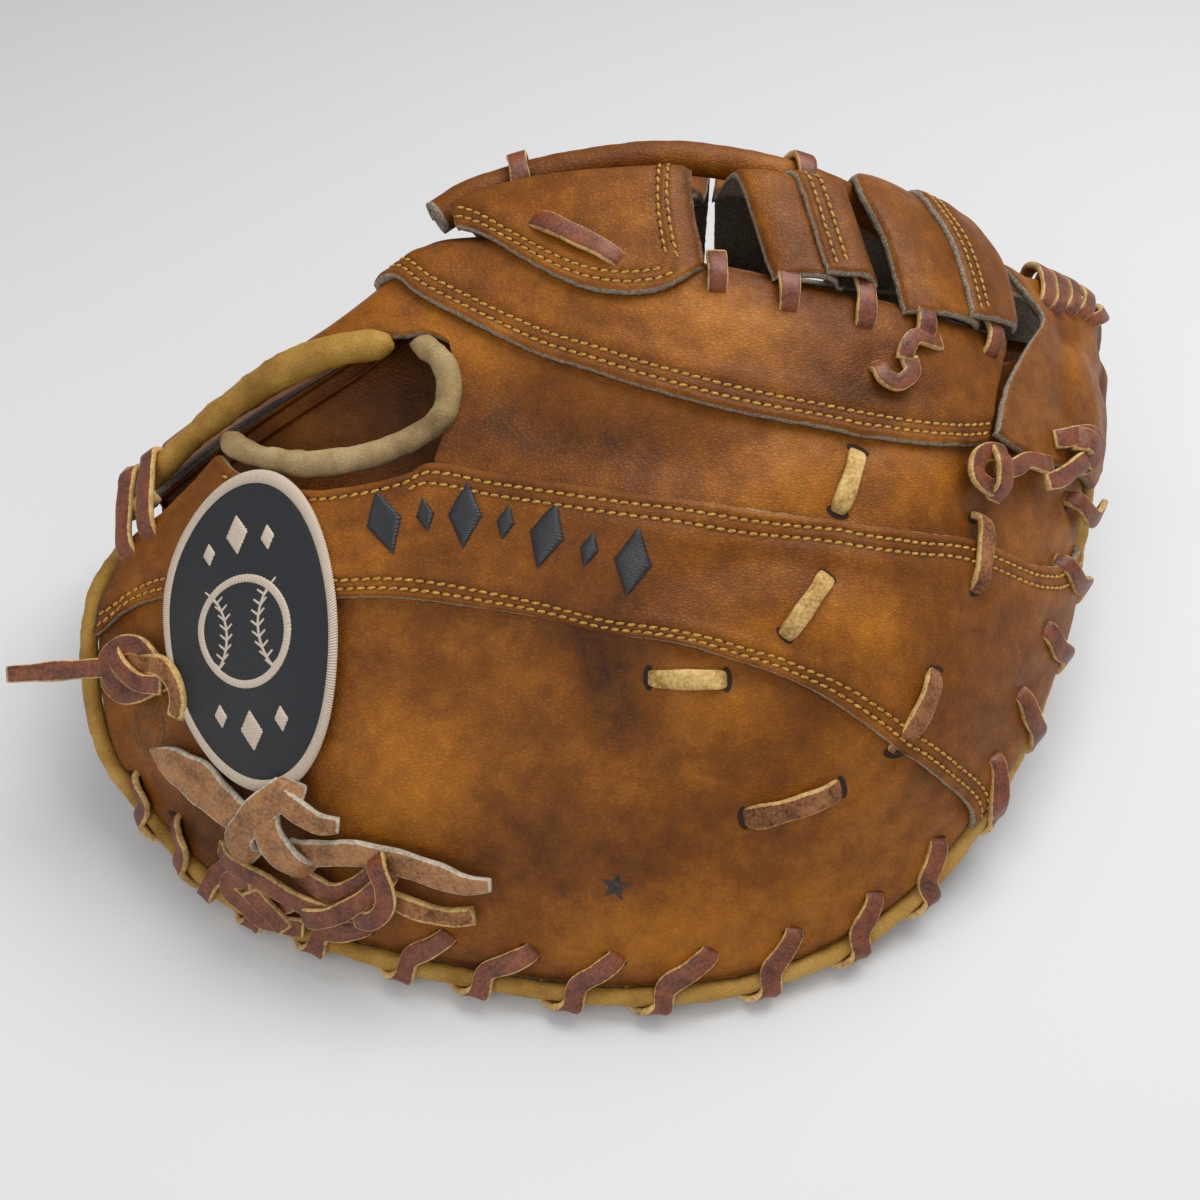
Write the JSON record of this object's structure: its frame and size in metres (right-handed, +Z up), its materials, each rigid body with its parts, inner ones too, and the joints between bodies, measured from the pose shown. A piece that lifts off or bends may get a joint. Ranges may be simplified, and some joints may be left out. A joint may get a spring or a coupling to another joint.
{
  "type": "first baseman mitt",
  "caption": "Padded leather first base mitt with laced rounded edge, barred web, hand hole in the back and a deep pocket, lying closed on its thumb side.",
  "frame": {"origin": "on the floor under the thumb panel, midway between heel and tip", "axes": "+X toward the finger tip, +Y toward the web side, +Z up from the floor it lies on"},
  "size_m": [0.3164, 0.2287, 0.1369],
  "materials": {
    "binding_suede": "worn cream suede binding, matte",
    "label_thread": "embroidered twill label, matte",
    "lace_brown": "rawhide lace, brown face, satin",
    "lace_cream": "rawhide lace, rough cream side, matte",
    "leather_palm": "padded palm leather, satin",
    "leather_tan": "smooth full-grain cowhide, satin, scuffed",
    "tie_leather": "soft leather thong, matte",
    "welt_mustard": "mustard yellow welt leather, satin"
  },
  "bodies": {
    "root": {"back_pinky_panel": "leather_tan", "back_strap_panel": "leather_tan", "back_index_panel": "leather_tan", "back_web_panel": "leather_tan", "tip_cap": "leather_tan", "palm": "leather_palm", "thumb_side_panel": "leather_tan", "thumb_back_panel": "leather_tan", "web_base_tab": "leather_tan", "web_bar_heel": "leather_tan", "web_bar_tip": "leather_tan", "web_spine": "leather_tan", "hand_hole_binding": "binding_suede", "wrist_roll": "welt_mustard", "finger_welt": "welt_mustard", "thumb_welt": "welt_mustard", "thumb_lacing": "lace_brown", "edge_lace_1": "lace_brown", "edge_lace_2": "lace_brown", "edge_lace_3": "lace_brown", "edge_lace_4": "lace_brown", "edge_lace_5": "lace_brown", "edge_lace_6": "lace_brown", "edge_lace_7": "lace_brown", "edge_lace_8": "lace_brown", "edge_lace_9": "lace_brown", "edge_lace_10": "lace_brown", "edge_lace_11": "lace_brown", "edge_lace_12": "lace_brown", "edge_lace_13": "lace_brown", "edge_lace_14": "lace_brown", "edge_lace_15": "lace_brown", "edge_lace_16": "lace_brown", "edge_lace_17": "lace_brown", "pad_lace_upper": "lace_cream", "pad_lace_middle": "lace_cream", "pad_lace_lower": "lace_cream", "pad_lace_tip_upper": "lace_brown", "pad_lace_tip_lower": "lace_brown", "pad_lace_suede": "lace_brown", "web_lace_tab": "lace_brown", "bar_foot_lace_1": "lace_brown", "bar_foot_lace_2": "lace_brown", "bar_foot_lace_3": "lace_brown", "spine_lace_heel": "lace_brown", "spine_lace_tip": "lace_brown", "rim_lace_1": "lace_brown", "rim_lace_2": "lace_brown", "rim_lace_3": "lace_brown", "rim_lace_4": "lace_brown", "rim_lace_5": "lace_brown", "slit_lace_1": "lace_brown", "slit_lace_2": "lace_brown", "label_patch": "label_thread", "knot_index_finger": "lace_brown", "knot_tip_inner": "lace_brown", "knot_tip_outer": "lace_brown", "wrist_knot": "lace_brown", "tie_thong": "tie_leather", "edge_lace_knot": "lace_brown"}
  },
  "joints": []
}
